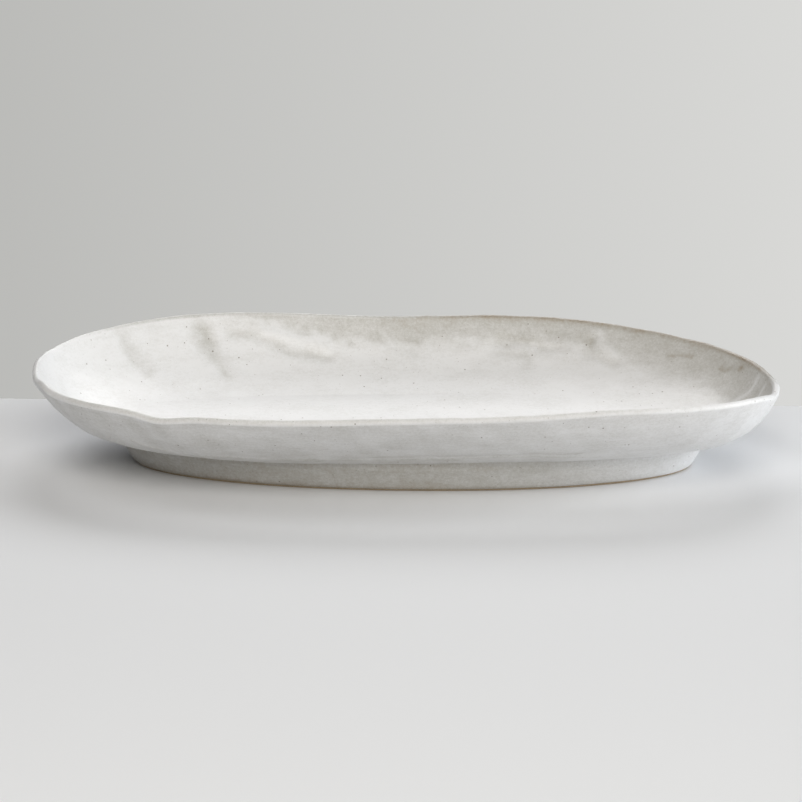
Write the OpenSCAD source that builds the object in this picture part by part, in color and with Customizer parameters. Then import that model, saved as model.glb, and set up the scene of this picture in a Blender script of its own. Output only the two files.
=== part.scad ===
// Oval stoneware serving platter with a flared wall, a swelling rim and a low foot ring.
// Millimetres, +Z up. The origin is on the table, under the middle of the rim's oval.
// The long axis lies along X and the front faces -Y.

/* [Size] */
// Length over the rim
platter_l = 470; // [440:1:540]
// Width over the rim
platter_w = 270; // [240:1:320]
// Height of the rim above the table, before its swells
rim_h = 61.5; // [50:0.5:80]
// Squareness of the rim's oval, where 2 is an ellipse
rim_square = 2.6; // [2.2:0.1:4]
// Lean of the rim's oval towards a parallelogram, as a share of its radius
rim_lean = 0.014; // [0:0.001:0.02]
// Thickness of the rim, which is also the roundness of its lip
lip_t = 4.4; // [3.5:0.1:7]

/* [Rim swells] */
// How far the left end stands above the mean rim height
left_rise = 1.5; // [-3:0.5:3]
// How far the back stands above the mean rim height
back_rise = 1.5; // [-3:0.5:3]
// How far both long sides stand above the mean rim height
side_rise = 3; // [-3:0.5:4]
// How far the front right and back left corners are twisted up
corner_twist = 2; // [-3:0.5:3]
// Depth of the three-lobed warp from drying
dry_warp = 1.5; // [-4:0.5:4]

/* [Wall and floor] */
// Share of the wall's rise that starts at once at the crease
wall_start = 0.25; // [0:0.05:0.4]
// How much more of the rise is straight in the middle of the front
front_straight = 0.45; // [0:0.05:0.5]
// Power of the rest of its rise, where a higher power turns up later
wall_curve = 2.7; // [1.4:0.1:3.2]
// How much later the wall turns up at the right end than at the left
right_fullness = 0.6; // [0:0.1:0.8]
// Thickness of the wall where it leaves the foot
wall_t = 6; // [5:0.1:9]
// How far the middle of the floor dips below its edge
floor_dip = 3; // [0:0.5:4]
// Thickness of the fired glaze
glaze_t = 0.5; // [0.3:0.1:0.8]

/* [Foot] */
// Length of the crease between wall and foot
crease_l = 373; // [340:1:384]
// Width of the crease between wall and foot
crease_w = 163; // [144:1:180]
// Mean height of the crease above the table
crease_z = 19; // [18:0.5:23]
// How far the crease rises and falls, three times round
crease_wander = 1.8; // [0:0.2:2.4]
// Squareness of the foot's oval, where 2 is an ellipse
foot_square = 2.1; // [2:0.1:2.6]
// Offset of the foot towards the right end
foot_shift = 6; // [-8:1:8]
// Height of the foot ring, up to its joint with the body
foot_h = 15; // [12:1:15]
// Width of the ground face that the platter stands on
ground_w = 7; // [5:0.5:12]
// Height of the bare clay band left by wiping the foot
wipe_h = 3; // [2:0.5:5]

/* [Hidden] */

clay_colour = "#b9a88f";
glaze_colour = "#e9e9e6";
thin_glaze_colour = "#cfc5b3";

// Short ripples of the rim: angle, half-width in degrees, lift in mm
rim_ripples = [
    [64, 13, 1.5], [95, 16, -3.5], [127, 14, 2], [160, 13, -2], [203, 5, 2],
    [236, 4, -3], [248, 14, -1.5], [303, 11, 2], [342, 6, -2.5]
];

// Folds pressed into the inside: angle and share of the wall's height at each end, half-width, lift
folds = [
    [140, 0.96, 137, 0.60, 9, -0.9],
    [128, 0.96, 121, 0.77, 9, -1.1],
    [126, 0.69, 123, 0.51, 8, -0.8],
    [118, 0.88, 106, 0.80, 7, 0.8],
    [93, 0.96, 92, 0.79, 11, -0.9],
    [72, 0.76, 71, 0.61, 7, -0.8],
    [62, 0.87, 57, 0.75, 7, -1.1],
    [46, 0.87, 25, 0.92, 7, -0.8],
    [205, 0.85, 214, 0.50, 9, -0.9],
    [238, 0.92, 246, 0.60, 9, -1.0],
    [272, 0.90, 281, 0.70, 10, 0.8],
    [312, 0.90, 304, 0.55, 9, -1.0]
];

steps = 80;
wall_rows = 6;
inner_rows = 8;
floor_rows = 3;
lip_rows = 4;
cove_rows = 3;

lip_r = lip_t / 2;
// The wall ends a little below the top of its round lip, and the lip swells past the wall's end
lip_drop = 1.5 * lip_r;
lip_swell = 0.9;
// Degrees either side of the middle of the front over which its straighter wall fades out
front_spread = 42;
// Plan distances inwards from the crease
cove_in = 1.5;
heel_in = 10.5;
heel_round = 1;
joint_w = ground_w + 6;
grind_depth = 0.5;

angles = [for (i = [0:steps - 1]) 360 * i / steps];

// ---- ovals in plan ----

function signed_pow(v, e) = sign(v) * pow(abs(v), e);

// Unit oval at an angle: a circle at squareness 2, nearer to a square above it
function unit_oval(t, sq) = [cos(t), sin(t)] * pow(pow(abs(cos(t)), sq) + pow(abs(sin(t)), sq), -1 / sq);

// Outward normal of the oval with the half-axes a and b
function oval_normal(t, sq, a, b) =
    let (n = [signed_pow(cos(t), sq - 1) / a, signed_pow(sin(t), sq - 1) / b]) n / norm(n);

function crease_at(t) =
    let (o = unit_oval(t, foot_square)) [foot_shift + o.x * crease_l / 2, o.y * crease_w / 2];

// The foot's outline at a distance inwards from the crease
function foot_at(t, inwards) =
    crease_at(t) - inwards * oval_normal(t, foot_square, crease_l / 2, crease_w / 2);

function rim_at(t) =
    let (o = unit_oval(t, rim_square), lean = 1 - rim_lean * sin(4 * t))
    [o.x * (platter_l / 2 - lip_swell), o.y * (platter_w / 2 - lip_swell)] * lean;

// ---- height of the rim ----

function turn_between(a, b) = ((a - b + 540) % 360) - 180;
function sum(list, i = 0) = i < len(list) ? list[i] + sum(list, i + 1) : 0;

function swells(t) =
    back_rise * sin(t) - left_rise * cos(t) - side_rise * cos(2 * t)
    - corner_twist * sin(2 * t) - dry_warp * sin(3 * t);

function ripples(t) = sum([for (r = rim_ripples) r[2] * exp(-pow(turn_between(t, r[0]) / r[1], 2))]);

function rim_z(t) = rim_h + swells(t) + ripples(t);

// ---- section through the wall: a straight line and a power curve, added, from the crease to the rim ----

function reach(t) = norm(rim_at(t) - crease_at(t));
function crease_height(t) = crease_z + crease_wander * cos(3 * t - 132);
function rise(t) = rim_z(t) - lip_drop - crease_height(t);
function outwards(t) = (rim_at(t) - crease_at(t)) / reach(t);

function start_at(t) = wall_start + front_straight * exp(-pow(turn_between(t, 270) / front_spread, 2));
function curve_at(t) = wall_curve + right_fullness * (1 + cos(t)) / 2;

function wall_line(t, up) = [
    reach(t) * up,
    crease_height(t) + rise(t) * (start_at(t) * up + (1 - start_at(t)) * pow(up, curve_at(t)))
];

function wall_tangent(t, up) =
    let (slope = start_at(t) + (1 - start_at(t)) * curve_at(t) * pow(up, curve_at(t) - 1),
         v = [reach(t), rise(t) * slope])
    v / norm(v);

// Turns a point of the section (distance from the crease, height) into a point in space
function place(t, p) = let (xy = crease_at(t) + outwards(t) * p.x) [xy.x, xy.y, p.y];

// Point at a depth below the outer face, measured square to the wall
function in_wall(t, up, depth) =
    let (g = wall_tangent(t, up)) wall_line(t, up) + depth * [-g.y, g.x];

function thickness(up) = wall_t + (lip_t - wall_t) * up;

// ---- folds on the inside ----

function smooth_inside(t, up) = place(t, in_wall(t, up, thickness(up)));

function gap_to_segment(p, a, b) =
    let (s = max(0, min(1, (p - a) * (b - a) / ((b - a) * (b - a))))) norm(p - a - s * (b - a));

function fold_lift(t, up) =
    let (p = smooth_inside(t, up), fade = 1 - pow(up, 8))
    fade * sum([for (f = folds)
        let (gap = gap_to_segment(p, smooth_inside(f[0], f[1]), smooth_inside(f[2], f[3])))
        f[5] * exp(-pow(gap / f[4], 2))]);

// ---- rings of points, each once round the platter; skin is how far they lie under the glazed face ----

function wall_ring(up, skin) = [for (t = angles) place(t, in_wall(t, up, skin))];

function inside_ring(up, skin) =
    [for (t = angles) place(t, in_wall(t, up, thickness(up) + fold_lift(t, up) - skin))];

// The lip is a half circle from the outer face, turn 0, to the inner face, turn 180
function lip_ring(turn, skin) = [for (t = angles)
    let (g = wall_tangent(t, 1), inwards = [-g.y, g.x], middle = in_wall(t, 1, lip_r))
    place(t, middle + (lip_r - skin) * (g * sin(turn) - inwards * cos(turn)))];

// The floor runs from the middle, share 0, to the inside over the crease, share 1
function floor_ring(share, skin) = [for (t = angles)
    let (p = smooth_inside(t, 0), lift = fold_lift(t, 0) * share * share - skin)
    [foot_shift + (p.x - foot_shift) * share, p.y * share,
     p.z - floor_dip * (1 - share * share) + lift]];

function floor_tip(skin) = [foot_shift, 0, smooth_inside(90, 0).z - floor_dip - skin];

// The cove is a hollow quarter round from the crease, turn 0, down to the joint, turn 90
function cove_ring(turn, skin) = [for (t = angles)
    let (xy = foot_at(t, (cove_in + skin) * sin(turn)))
    [xy.x, xy.y, foot_h + (crease_height(t) - foot_h + skin * cos(turn)) * cos(turn)]];

function foot_ring_line(inwards, z) = [for (t = angles) let (xy = foot_at(t, inwards)) [xy.x, xy.y, z]];

// Distance inwards of the foot's clay face at a height: straight from the joint to the heel
function face_in(z) = cove_in + glaze_t + (heel_in - cove_in - glaze_t) * (foot_h - z) / foot_h;

function shares(count) = [for (i = [0:count]) i / count];

function cove_up(skin) = [for (i = [cove_rows:-1:1]) cove_ring(90 * i / cove_rows, skin)];
function wall_up(skin) = [for (s = shares(wall_rows)) wall_ring(s, skin)];
function over_lip(skin) = [for (s = shares(lip_rows)) lip_ring(180 * s, skin)];
function inside_down(skin) = concat(
    [for (s = shares(inner_rows)) inside_ring(1 - s, skin)],
    [for (i = [floor_rows - 1:-1:1]) floor_ring(i / floor_rows, skin)]);

function without_first(list) = [for (i = [1:len(list) - 1]) list[i]];
function without_ends(list) = [for (i = [1:len(list) - 2]) list[i]];
function reversed(list) = [for (i = [len(list) - 1:-1:0]) list[i]];

// ---- closed skins ----

// Joins rings into a closed solid. Bands from number back_from to back_to run against the
// body's own direction, so they take the other diagonal and match the face they lie on.
// With two tips the ends close on them, and without tips the last ring joins the first.
module close_rings(rings, tips = [], back_from = 0, back_to = -1) {
    count = len(rings);
    bands = len(tips) == 2 ? count - 1 : count;
    quads = [for (i = [0:bands - 1], j = [0:steps - 1])
        let (a = i * steps + j, d = i * steps + (j + 1) % steps,
             b = ((i + 1) % count) * steps + j, c = ((i + 1) % count) * steps + (j + 1) % steps)
        each i >= back_from && i <= back_to ? [[a, b, d], [b, c, d]] : [[a, b, c], [a, c, d]]];
    first_fan = [for (j = [0:steps - 1]) [count * steps, j, (j + 1) % steps]];
    last_fan = [for (j = [0:steps - 1])
        [count * steps + 1, (count - 1) * steps + (j + 1) % steps, (count - 1) * steps + j]];
    polyhedron(
        points = concat([for (ring = rings) each ring], tips),
        faces = len(tips) == 2 ? concat(quads, first_fan, last_fan) : quads);
}

// ---- sub-parts ----

// The clay of the dish in one piece: underside, cove, wall, lip, inside and floor
module platter_body() {
    color(clay_colour)
        close_rings(
            concat(
                cove_up(glaze_t),
                wall_up(glaze_t),
                without_ends(over_lip(glaze_t)),
                inside_down(glaze_t)),
            tips = [[foot_shift, 0, foot_h], floor_tip(glaze_t)]);
}

// The foot: a strip of clay luted under the body, then ground flat
module foot_ring() {
    color(clay_colour)
        difference() {
            close_rings([
                foot_ring_line(heel_in + heel_round + grind_depth, -grind_depth),
                foot_ring_line(face_in(heel_round), heel_round),
                foot_ring_line(face_in(wipe_h), wipe_h),
                foot_ring_line(face_in(foot_h), foot_h),
                foot_ring_line(face_in(foot_h) + joint_w, foot_h),
                foot_ring_line(heel_in + heel_round + ground_w, -grind_depth)
            ]);
            translate([-platter_l / 2, -platter_w / 2, -2 * grind_depth])
                cube([platter_l, platter_w, 2 * grind_depth]);
        }
}

// Glaze over the floor and the inside of the wall
module well_glaze() {
    under = reversed(inside_down(glaze_t));
    color(glaze_colour)
        close_rings(
            concat(under, inside_down(0)),
            tips = [floor_tip(glaze_t), floor_tip(0)],
            back_to = len(under) - 2);
}

// Glaze over the lip, where it runs thin and fires tan
module rim_glaze() {
    over = over_lip(0);
    color(thin_glaze_colour)
        close_rings(
            concat(over, reversed(over_lip(glaze_t))),
            back_from = len(over), back_to = 2 * len(over) - 2);
}

// Glaze over the outside of the wall and the cove above the foot
module wall_glaze() {
    face = concat(cove_up(0), wall_up(0));
    color(glaze_colour)
        close_rings(
            concat(face, reversed(concat(cove_up(glaze_t), wall_up(glaze_t)))),
            back_from = len(face), back_to = 2 * len(face) - 2);
}

// Glaze on the outer face of the foot, down to the wiped band
module foot_glaze() {
    color(glaze_colour)
        close_rings([
            foot_ring_line(face_in(wipe_h) - glaze_t, wipe_h),
            foot_ring_line(face_in(foot_h) - glaze_t, foot_h),
            foot_ring_line(face_in(foot_h), foot_h),
            foot_ring_line(face_in(wipe_h), wipe_h)
        ], back_from = 2, back_to = 2);
}

// Glaze on the underside, inside the foot ring
module base_glaze() {
    color(glaze_colour)
        translate([0, 0, foot_h - glaze_t])
            linear_extrude(glaze_t)
                polygon([for (t = angles) foot_at(t, face_in(foot_h) + joint_w)]);
}

platter_body();
foot_ring();
well_glaze();
rim_glaze();
wall_glaze();
foot_glaze();
base_glaze();
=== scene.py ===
import math

import bpy
import numpy as np
from bpy.props import FloatProperty, FloatVectorProperty, PointerProperty
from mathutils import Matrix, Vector


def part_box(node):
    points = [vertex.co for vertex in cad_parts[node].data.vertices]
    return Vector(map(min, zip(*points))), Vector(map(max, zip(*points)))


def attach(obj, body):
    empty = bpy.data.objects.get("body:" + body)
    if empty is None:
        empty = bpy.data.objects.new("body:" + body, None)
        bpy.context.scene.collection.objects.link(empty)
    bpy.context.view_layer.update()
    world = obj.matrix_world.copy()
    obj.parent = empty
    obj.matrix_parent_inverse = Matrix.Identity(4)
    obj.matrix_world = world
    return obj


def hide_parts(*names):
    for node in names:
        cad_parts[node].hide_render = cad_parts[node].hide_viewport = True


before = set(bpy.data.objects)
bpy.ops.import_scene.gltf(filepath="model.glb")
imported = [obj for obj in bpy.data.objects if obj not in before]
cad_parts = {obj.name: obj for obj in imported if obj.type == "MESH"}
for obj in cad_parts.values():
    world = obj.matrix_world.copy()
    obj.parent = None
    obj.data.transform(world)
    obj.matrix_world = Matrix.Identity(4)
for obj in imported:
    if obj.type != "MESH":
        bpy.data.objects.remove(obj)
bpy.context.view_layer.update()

bl_info = {
    "name": "Stoneware Platter",
    "version": (1, 0, 0),
    "blender": (4, 5, 0),
    "location": "View3D > Sidebar > Platter",
    "description": "Builds an oval stoneware platter with its glaze coats, and a small studio for it",
    "category": "Add Mesh",
}

MM = 0.001
BODY = "root"
GLAZE_SLOT = "white_glaze"
RIM_SLOT = "rim_glaze"

# The foot ring's top is the joint with the dish.
FOOT_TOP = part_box("foot_ring")[1].z

# ---- the platter's form, shared by every piece ----

RIM_SQUARENESS = 2.6
RIM_LEAN = 0.014
FOOT_SQUARENESS = 2.1
LIP_SWELL = 0.9 * MM
FRONT_SPREAD = 42
LEFT_RISE = 1.5 * MM
BACK_RISE = 1.5 * MM
SIDE_RISE = 3 * MM
CORNER_TWIST = 2 * MM
DRY_WARP = 1.5 * MM

# Short ripples of the rim: angle, half-width in degrees, lift in mm
RIM_RIPPLES = (
    (64, 13, 1.5), (95, 16, -3.5), (127, 14, 2), (160, 13, -2), (203, 5, 2),
    (236, 4, -3), (248, 14, -1.5), (303, 11, 2), (342, 6, -2.5),
)

COVE_IN = 1.5 * MM
HEEL_IN = 10.5 * MM
HEEL_ROUND = 1 * MM
INNER_ROUND = 0.6 * MM
JOINT_EXTRA = 6 * MM
WIPE_HEIGHT = 1.4 * MM
WIPE_WANDER = 0.3 * MM
WIPE_TAPER = 0.4 * MM

# Strokes are what the fingers left on a face. Each has the points of its line as (angle, share of the
# wall's height), its half-widths in mm on the left and on the right of that line as it is walked, its
# lift in mm, and how much thinner the glaze lies along it, from -1 to 1: partly real thin glaze, partly
# painted shade along hollows and, below 0, a painted highlight along ridges.
INSIDE_STROKES = (
    # folds at the back left, with painted shade in their hollows and a painted highlight on a ridge
    (((140, 0.95), (140, 0.60)), 5, 6, -0.7, 0.25),
    (((125, 0.95), (125, 0.85)), 8, 8, -0.5, 0.20),
    (((125, 0.90), (125, 0.50)), 5, 6, -0.9, 0.30),
    (((120, 0.90), (110, 0.75), (105, 0.70)), 4, 5, -0.8, 0.30),
    (((115, 0.90), (105, 0.80)), 4, 5, 0.7, -0.20),
    # the soft hollow in the middle of the back, greyed as painted shade
    (((90, 0.95), (90, 0.80)), 9, 9, -0.6, 0.15),
    # folds at the back right, with painted shade in their hollows and a painted highlight on a ridge
    (((75, 0.85), (65, 0.80)), 4, 4, -0.9, 0.15),
    (((60, 0.90), (60, 0.80), (55, 0.70)), 4, 4, -1.2, 0.15),
    (((60, 0.95), (55, 0.80)), 3, 4, 1.0, -0.30),
    (((75, 0.75), (70, 0.70), (70, 0.60)), 4, 4, -0.5, 0.20),
    # brown smears near the right end
    (((45, 0.85), (40, 0.90)), 2, 2, -0.25, 0.35),
    (((30, 0.90), (20, 0.95)), 2, 2, -0.25, 0.40),
    # two ridges up the right end, paled by thicker glaze as a painted highlight
    (((15, 0.60), (10, 0.80), (10, 0.95)), 2, 3, 0.4, -0.35),
    (((5, 0.75), (0, 0.85), (0, 0.95)), 2, 3, 0.4, -0.35),
    # the left end, and the front, which is made up to match, with the same painted shade and painted
    # highlight
    (((150, 0.95), (145, 0.65)), 8, 9, -0.3, 0),
    (((165, 0.95), (165, 0.70)), 9, 9, 0.3, 0),
    (((205, 0.85), (215, 0.50)), 9, 9, -0.8, 0.20),
    (((240, 0.90), (245, 0.60)), 8, 10, -0.9, 0.30),
    (((260, 0.95), (265, 0.70)), 6, 8, -0.5, 0.20),
    (((275, 0.90), (280, 0.70)), 10, 9, 0.8, -0.20),
    (((310, 0.90), (305, 0.55)), 9, 9, -1.0, 0.30),
    (((330, 0.95), (320, 0.70)), 7, 9, 0.5, 0),
)
OUTSIDE_STROKES = (
    # overlapping ridges low on the front, darkened along them partly as real brown-grey glaze and partly as
    # painted shade
    (((225, 0.65), (230, 0.45), (235, 0.30)), 2, 1.5, 0.8, 0.30),
    (((235, 0.45), (245, 0.30), (255, 0.20)), 2, 1.5, 0.8, 0.30),
    (((250, 0.30), (265, 0.20), (280, 0.20)), 2, 1.5, 0.7, 0.25),
    (((265, 0.30), (280, 0.35), (300, 0.45)), 2, 2, -0.3, 0.20),
    (((275, 0.25), (290, 0.35), (305, 0.30)), 2, 1.5, 0.7, 0.25),
    # facets at the front right
    (((320, 0.95), (320, 0.50)), 2, 3, 0.4, 0),
    (((325, 0.95), (325, 0.60)), 3, 3, -0.4, 0),
    (((330, 0.95), (330, 0.60)), 3, 3, 0.4, 0),
    (((340, 0.95), (340, 0.55)), 3, 3, -0.4, 0),
    # the left end and the back, which are made up to match
    (((200, 0.80), (205, 0.55)), 8, 8, 0.4, 0.10),
    (((30, 0.60), (50, 0.55), (60, 0.60)), 2, 2, 0.4, 0),
    (((80, 0.50), (100, 0.55), (110, 0.50)), 2, 2, 0.4, 0.10),
    (((120, 0.60), (140, 0.50), (150, 0.50)), 2, 2, -0.3, 0.25),
)

# How thin the glaze lies on the lip: angle, and thinness from 0 to 1
THIN_LIP = (
    (0, 0.4), (10, 0.7), (80, 0.7), (100, 0.3), (130, 0.3), (150, 0), (200, 0), (230, 0.2),
    (300, 0.1), (330, 0), (350, 0), (360, 0.4),
)

# The band inside, under the lip, where the glaze ran thin, which also holds painted shade low on the
# right end and at the back right: angle, and the share of the wall's height at which it begins
THIN_AND_SHADED_BAND = (
    (0, 0.50), (20, 0.60), (40, 0.70), (60, 0.85), (100, 0.85), (120, 1.0), (130, 1.1), (200, 1.1),
    (220, 0.95), (250, 0.90), (290, 0.90), (320, 0.85), (340, 0.70), (360, 0.50),
)

# How much thinner than the mask the two glazes lie
WHITE_THINNER = 0.03
RIM_THINNER = 0.05

STEPS = 640
FOOT_ROWS = 16
COVE_ROWS = 10
WALL_ROWS = 72
LIP_ROWS = 22
INSIDE_ROWS = 100
FLOOR_ROWS = 16
UNDER_STRIDE = 4

ANGLES = np.radians(np.arange(STEPS) * 360 / STEPS)

# Soft lamps: name, azimuth round from the right end towards the back, elevation, watts, colour
LAMPS = (
    ("window", 0, 15, 45, (0.95, 0.98, 1.0)), ("back", 90, 40, 25, (1.0, 1.0, 1.0)),
    ("front", -90, 35, 35, (1.0, 0.96, 0.89)), ("left_high", 180, 60, 10, (1.0, 1.0, 1.0)),
)
LAMP_SIZE = 1.5
BACKDROP_SHADING = 0.27
LAMP_DISTANCE = 2.5


def length_property(name, description, default, low, high):
    return FloatProperty(
        name=name, description=description, default=default, min=low, max=high,
        unit="LENGTH", subtype="DISTANCE",
    )


def share_property(name, description, default, low, high):
    return FloatProperty(
        name=name, description=description, default=default, min=low, max=high, subtype="FACTOR"
    )


def colour_property(name, description, default, high=1):
    return FloatVectorProperty(
        name=name, description=description, default=default, min=0, max=high, subtype="COLOR"
    )


class PlatterShape(bpy.types.PropertyGroup):
    """The platter's driving sizes."""

    length: length_property("Length", "Length over the rim", 0.470, 0.44, 0.54)
    width: length_property("Width", "Width over the rim", 0.270, 0.24, 0.32)
    rim_height: length_property(
        "Rim Height", "Height of the rim above the table, before its swells", 0.0615, 0.05, 0.08
    )
    lip: length_property("Lip", "Thickness of the rounded lip", 0.0044, 0.0035, 0.007)
    wall: length_property("Wall", "Thickness of the wall where it leaves the foot", 0.006, 0.005, 0.009)
    wall_start: share_property(
        "Wall Start", "Share of the wall's rise that starts at once at the crease", 0.25, 0, 0.4
    )
    front_straight: share_property(
        "Front Straight", "How much more of the rise is straight in the middle of the front", 0.45, 0, 0.5
    )
    wall_power: FloatProperty(
        name="Wall Power", description="Power of the rest of the rise: a higher one turns up later",
        default=2.7, min=1.4, max=3.2,
    )
    right_fullness: FloatProperty(
        name="Right Fullness", description="How much later the wall turns up at the right end",
        default=0.6, min=0, max=0.8,
    )
    crease_length: length_property(
        "Crease Length", "Length of the crease between wall and foot", 0.373, 0.34, 0.384
    )
    crease_width: length_property(
        "Crease Width", "Width of the crease between wall and foot", 0.163, 0.144, 0.18
    )
    crease_height: length_property(
        "Crease Height", "Mean height of the crease above the table", 0.019, 0.018, 0.023
    )
    crease_wander: length_property(
        "Crease Wander", "How far the crease rises and falls, three times round", 0.0018, 0, 0.0024
    )
    foot_shift: length_property(
        "Foot Shift", "Offset of the foot towards the right end", 0.006, -0.008, 0.008
    )
    floor_dip: length_property(
        "Floor Dip", "How far the middle of the floor dips below its edge", 0.003, 0, 0.004
    )
    glaze: length_property("Glaze", "Thickness of the fired glaze", 0.0005, 0.0003, 0.0008)
    ground_width: length_property(
        "Ground Width", "Width of the ground face under the foot", 0.007, 0.005, 0.012
    )


class PlatterFinish(bpy.types.PropertyGroup):
    """The colours of the clay and its glaze."""

    glaze: colour_property("Glaze", "Colour of the glaze where it lies thick", (0.86, 0.86, 0.865))
    thin_glaze: colour_property("Thin Glaze", "Colour of the glaze where it runs thin", (0.56, 0.55, 0.52))
    broken_glaze: colour_property(
        "Broken Glaze", "Colour of the glaze where the clay all but shows through", (0.34, 0.27, 0.19)
    )
    iron: colour_property("Iron", "Colour of the iron specks", (0.16, 0.12, 0.085))
    clay: colour_property("Clay", "Colour of the bare fired clay", (0.52, 0.41, 0.28))
    gloss: share_property("Roughness", "Roughness of the glaze, where 0 is a mirror", 0.45, 0.05, 1)


class PlatterStudio(bpy.types.PropertyGroup):
    """The camera, the lights and the table."""

    elevation: FloatProperty(
        name="Elevation", description="Angle of the camera above the table",
        default=math.radians(14.25), unit="ROTATION", subtype="ANGLE",
    )
    azimuth: FloatProperty(
        name="Azimuth", description="Angle of the camera round from the front towards the right end",
        default=math.radians(2.2), unit="ROTATION", subtype="ANGLE",
    )
    distance: length_property(
        "Distance", "Distance of the camera from the point that it looks at", 2.1, 0.5, 10
    )
    lens: FloatProperty(
        name="Lens", description="Focal length of the camera in millimetres",
        default=149.0, min=20, max=300,
    )
    brightness: FloatProperty(
        name="Brightness", description="Scale of the power of every lamp",
        default=1.0, min=0, max=10,
    )
    sky: colour_property(
        "Room Light", "Colour of the light that the room gives from all sides", (0.01, 0.01, 0.01), 2
    )
    table: colour_property("Table", "Colour of the table", (0.80, 0.81, 0.83))
    backdrop_left: colour_property("Backdrop Left", "Colour of the backdrop on the left", (0.50, 0.50, 0.485))
    backdrop_right: colour_property(
        "Backdrop Right", "Colour of the backdrop on the right", (0.69, 0.69, 0.675)
    )


# ---- curves in plan ----


def signed_power(values, power):
    """The power of the size, with the sign kept."""
    return np.sign(values) * np.abs(values) ** power


def unit_oval(angle, squareness):
    """Cosine and sine of the angle, divided by the root of the sum of their powers: a circle at
    squareness 2 and nearer to a square above it."""
    x, y = np.cos(angle), np.sin(angle)
    scale = (np.abs(x) ** squareness + np.abs(y) ** squareness) ** (-1 / squareness)
    return np.stack([x * scale, y * scale], axis=-1)


def crease_at(shape, angle):
    """The crease in plan: the foot's unit oval times its half-axes, moved towards the right end."""
    half = np.array([shape.crease_length, shape.crease_width]) / 2
    return unit_oval(angle, FOOT_SQUARENESS) * half + np.array([shape.foot_shift, 0])


def crease_level(shape, angle):
    """The crease's height: its mean plus a wave of three turns round."""
    return shape.crease_height + shape.crease_wander * np.cos(3 * angle - math.radians(132))


def foot_at(shape, angle, inwards):
    """The crease's oval moved inwards along its own normal, which is the gradient of the oval."""
    half = np.array([shape.crease_length, shape.crease_width]) / 2
    gradient = signed_power(np.stack([np.cos(angle), np.sin(angle)], -1), FOOT_SQUARENESS - 1) / half
    normal = gradient / np.linalg.norm(gradient, axis=-1, keepdims=True)
    return crease_at(shape, angle) - np.asarray(inwards)[..., None] * normal


def rim_at(shape, angle):
    """The rim in plan: its unit oval times its half-axes, less the lip's swell, leaning with sin(4a)."""
    half = np.array([shape.length, shape.width]) / 2 - LIP_SWELL
    lean = 1 - RIM_LEAN * np.sin(4 * angle)
    return unit_oval(angle, RIM_SQUARENESS) * half * lean[..., None]


def bell(values, half_width):
    """One at zero, falling off as the exponential of the negative square."""
    return np.exp(-((values / half_width) ** 2))


def degrees_between(angle, degrees):
    """The turn from an angle in degrees to an angle in radians, in degrees from -180 to 180."""
    return (np.degrees(angle) - degrees + 180) % 360 - 180


def rim_height(shape, angle):
    """The mean rim height plus slow waves of one, two and three turns round and a bell per ripple."""
    swells = (
        BACK_RISE * np.sin(angle) - LEFT_RISE * np.cos(angle) - SIDE_RISE * np.cos(2 * angle)
        - CORNER_TWIST * np.sin(2 * angle) - DRY_WARP * np.sin(3 * angle)
    )
    ripples = sum(
        lift * MM * bell(degrees_between(angle, middle), half_width)
        for middle, half_width, lift in RIM_RIPPLES
    )
    return shape.rim_height + swells + ripples


# ---- section through the wall ----


def wall_section(shape, angle, up):
    """Reach and height of the outer face over the crease, and its unit tangent. The rise is a straight
    share, larger in the middle of the front, plus a power of the share up the wall, to just below the
    top of the lip."""
    span = rim_at(shape, angle) - crease_at(shape, angle)
    reach = np.linalg.norm(span, axis=-1)
    rise = rim_height(shape, angle) - 0.75 * shape.lip - crease_level(shape, angle)
    power = shape.wall_power + shape.right_fullness * (1 + np.cos(angle)) / 2
    straight = shape.wall_start + shape.front_straight * bell(degrees_between(angle, 270), FRONT_SPREAD)
    curved = 1 - straight
    height = rise * (straight * up + curved * up**power)
    slope = rise * (straight + curved * power * up ** (power - 1))
    length = np.hypot(reach, slope)
    return reach * up, height, reach / length, slope / length


def place(shape, angle, out, height):
    """The point that lies out from the crease towards the rim at a height above it."""
    crease = crease_at(shape, angle)
    span = rim_at(shape, angle) - crease
    outwards = span / np.linalg.norm(span, axis=-1, keepdims=True)
    flat = crease + outwards * out[..., None]
    return np.concatenate([flat, (crease_level(shape, angle) + height)[..., None]], axis=-1)


def in_wall(shape, angle, up, depth):
    """The outer face moved into the wall, square to it, by a depth."""
    out, height, along, rising = wall_section(shape, angle, up)
    return place(shape, angle, out - depth * rising, height + depth * along)


def wall_depth(shape, up):
    """How thick the wall is: it thins evenly from the foot to the lip."""
    return shape.wall + (shape.lip - shape.wall) * up


def inside_of_wall(shape, angle, up):
    """The inner face, as deep as the wall is thick."""
    return in_wall(shape, angle, up, wall_depth(shape, up))


def lip_round(shape, angle, turn):
    """A half circle about the middle of the lip, from the outer face at turn 0 to the inner at pi."""
    radius = shape.lip / 2
    out, height, along, rising = wall_section(shape, angle, 1.0)
    out = out - radius * rising + radius * (along * np.sin(turn) + rising * np.cos(turn))
    height = height + radius * along + radius * (rising * np.sin(turn) - along * np.cos(turn))
    return place(shape, angle, out, height)


def floor_of_well(shape, angle, share):
    """The inner face over the crease, drawn in towards the middle. The unevenness of its edge falls
    away with the square of the share, and the dip grows as one less that square."""
    edge = inside_of_wall(shape, angle, 0.0)
    middle = np.array([shape.foot_shift, 0, 0])
    flat = middle + (edge - middle) * np.array([share, share, 1])
    mean = edge[..., 2].mean()
    flat[..., 2] = mean + (edge[..., 2] - mean) * share**2 - shape.floor_dip * (1 - share**2)
    return flat


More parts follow.
